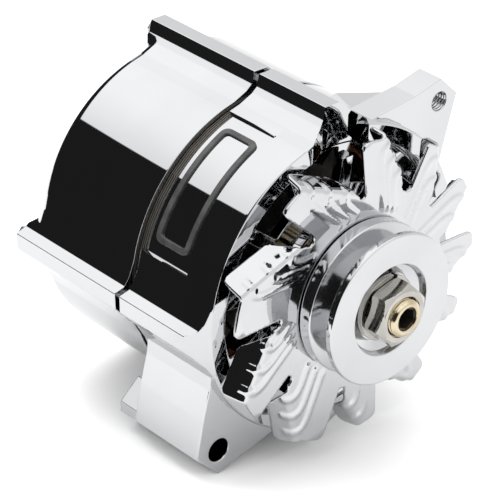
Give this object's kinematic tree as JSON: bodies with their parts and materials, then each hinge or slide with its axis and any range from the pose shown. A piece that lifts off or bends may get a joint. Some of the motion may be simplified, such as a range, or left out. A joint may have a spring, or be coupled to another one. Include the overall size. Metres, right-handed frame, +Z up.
{
  "type": "car alternator",
  "caption": "Chromed external-fan car alternator with pivot foot, adjusting ear, V-belt pulley and a claw-pole rotor that spins on its bearings.",
  "frame": {"origin": "centre of the bounding box, on the surface that the alternator lies on (lower case ridge and corner of the pivot foot)", "axes": "+X along the shaft toward the pulley, +Z up with the alternator lying at rest, +Y toward the adjusting ear's side"},
  "size_m": [0.1668, 0.1526, 0.153],
  "materials": {
    "case_chrome": "mirror-polished chrome plate on die-cast aluminium",
    "fan_chrome": "mirror chrome on pressed steel sheet",
    "pulley_chrome": "polished chrome on turned steel",
    "badge_enamel": "satin black infill of a plain raised frame",
    "laminations": "stacked steel laminations, varnished",
    "copper_winding": "enamelled copper wire, varnished",
    "ring_copper": "turned copper contact ring",
    "yellow_zinc": "yellow zinc plated steel",
    "bare_iron": "forged iron, dark",
    "cast_aluminium": "as-cast aluminium heat sink",
    "steel": "bright machined steel",
    "dark_steel": "dark tempered spring steel",
    "nut_nickel": "nickel plated, satin",
    "carbon": "carbon brush, matte",
    "black_plastic": "black phenolic moulding"
  },
  "bodies": {
    "case": {"through_bolt_1": "steel", "through_bolt_2": "steel", "through_bolt_3": "steel", "through_bolt_4": "steel", "retainer_screw_1": "steel", "retainer_screw_2": "steel", "retainer_screw_3": "steel", "drive_end_frame": "case_chrome", "slip_ring_end_frame": "case_chrome", "badge_frame": "badge_enamel", "stator_core": "laminations", "stator_winding": "copper_winding", "front_bearing_outer_race": "steel", "bearing_retainer": "steel", "rear_bearing_shell": "steel", "brush_holder": "black_plastic", "brush_spring_1": "steel", "brush_spring_2": "steel", "regulator": "black_plastic", "rectifier_bridge": "cast_aluminium", "diode_trio": "black_plastic", "capacitor": "steel", "output_stud": "steel", "stud_insulator": "black_plastic", "stud_nut": "nut_nickel", "connector_socket": "black_plastic", "connector_blade_1": "steel", "connector_blade_2": "steel", "ground_screw": "steel"},
    "rotor": {"rotor_shaft": "yellow_zinc", "claw_pole_front": "bare_iron", "claw_pole_rear": "bare_iron", "field_coil": "copper_winding", "inner_collar": "steel", "outer_collar": "steel", "slip_ring_sleeve": "black_plastic", "slip_ring_1": "ring_copper", "slip_ring_2": "ring_copper", "front_bearing_inner_race": "steel", "fan": "fan_chrome", "pulley": "pulley_chrome", "lock_washer": "dark_steel", "pulley_nut": "nut_nickel"},
    "front_ball_set": {"front_bearing_balls": "steel"},
    "rear_roller_set": {"rear_bearing_rollers": "steel"},
    "brush_a": {"brush_1": "carbon"},
    "brush_b": {"brush_2": "carbon"}
  },
  "joints": [
    {"name": "rotor_spin", "type": "hinge", "parent": "case", "child": "rotor", "pos_m": [0, 0, 0.07648], "axis": [1, 0, 0], "continuous": true},
    {"name": "front_balls_roll", "type": "hinge", "parent": "case", "child": "front_ball_set", "pos_m": [0, 0, 0.07648], "axis": [1, 0, 0], "continuous": true},
    {"name": "rear_rollers_roll", "type": "hinge", "parent": "case", "child": "rear_roller_set", "pos_m": [0, 0, 0.07648], "axis": [1, 0, 0], "continuous": true},
    {"name": "brush_1_slide", "type": "slide", "parent": "case", "child": "brush_a", "axis": [0, 0, 1], "range_m": [0, 0.003], "stiffness_N_per_m": 150, "springref_m": -0.004, "deforming": ["brush_spring_1"]},
    {"name": "brush_2_slide", "type": "slide", "parent": "case", "child": "brush_b", "axis": [0, 0, 1], "range_m": [0, 0.003], "stiffness_N_per_m": 150, "springref_m": -0.004, "deforming": ["brush_spring_2"]}
  ],
  "couplings": [
    {"joint": "front_balls_roll", "follows": "rotor_spin", "ratio": 0.42},
    {"joint": "rear_rollers_roll", "follows": "rotor_spin", "ratio": 0.45}
  ]
}
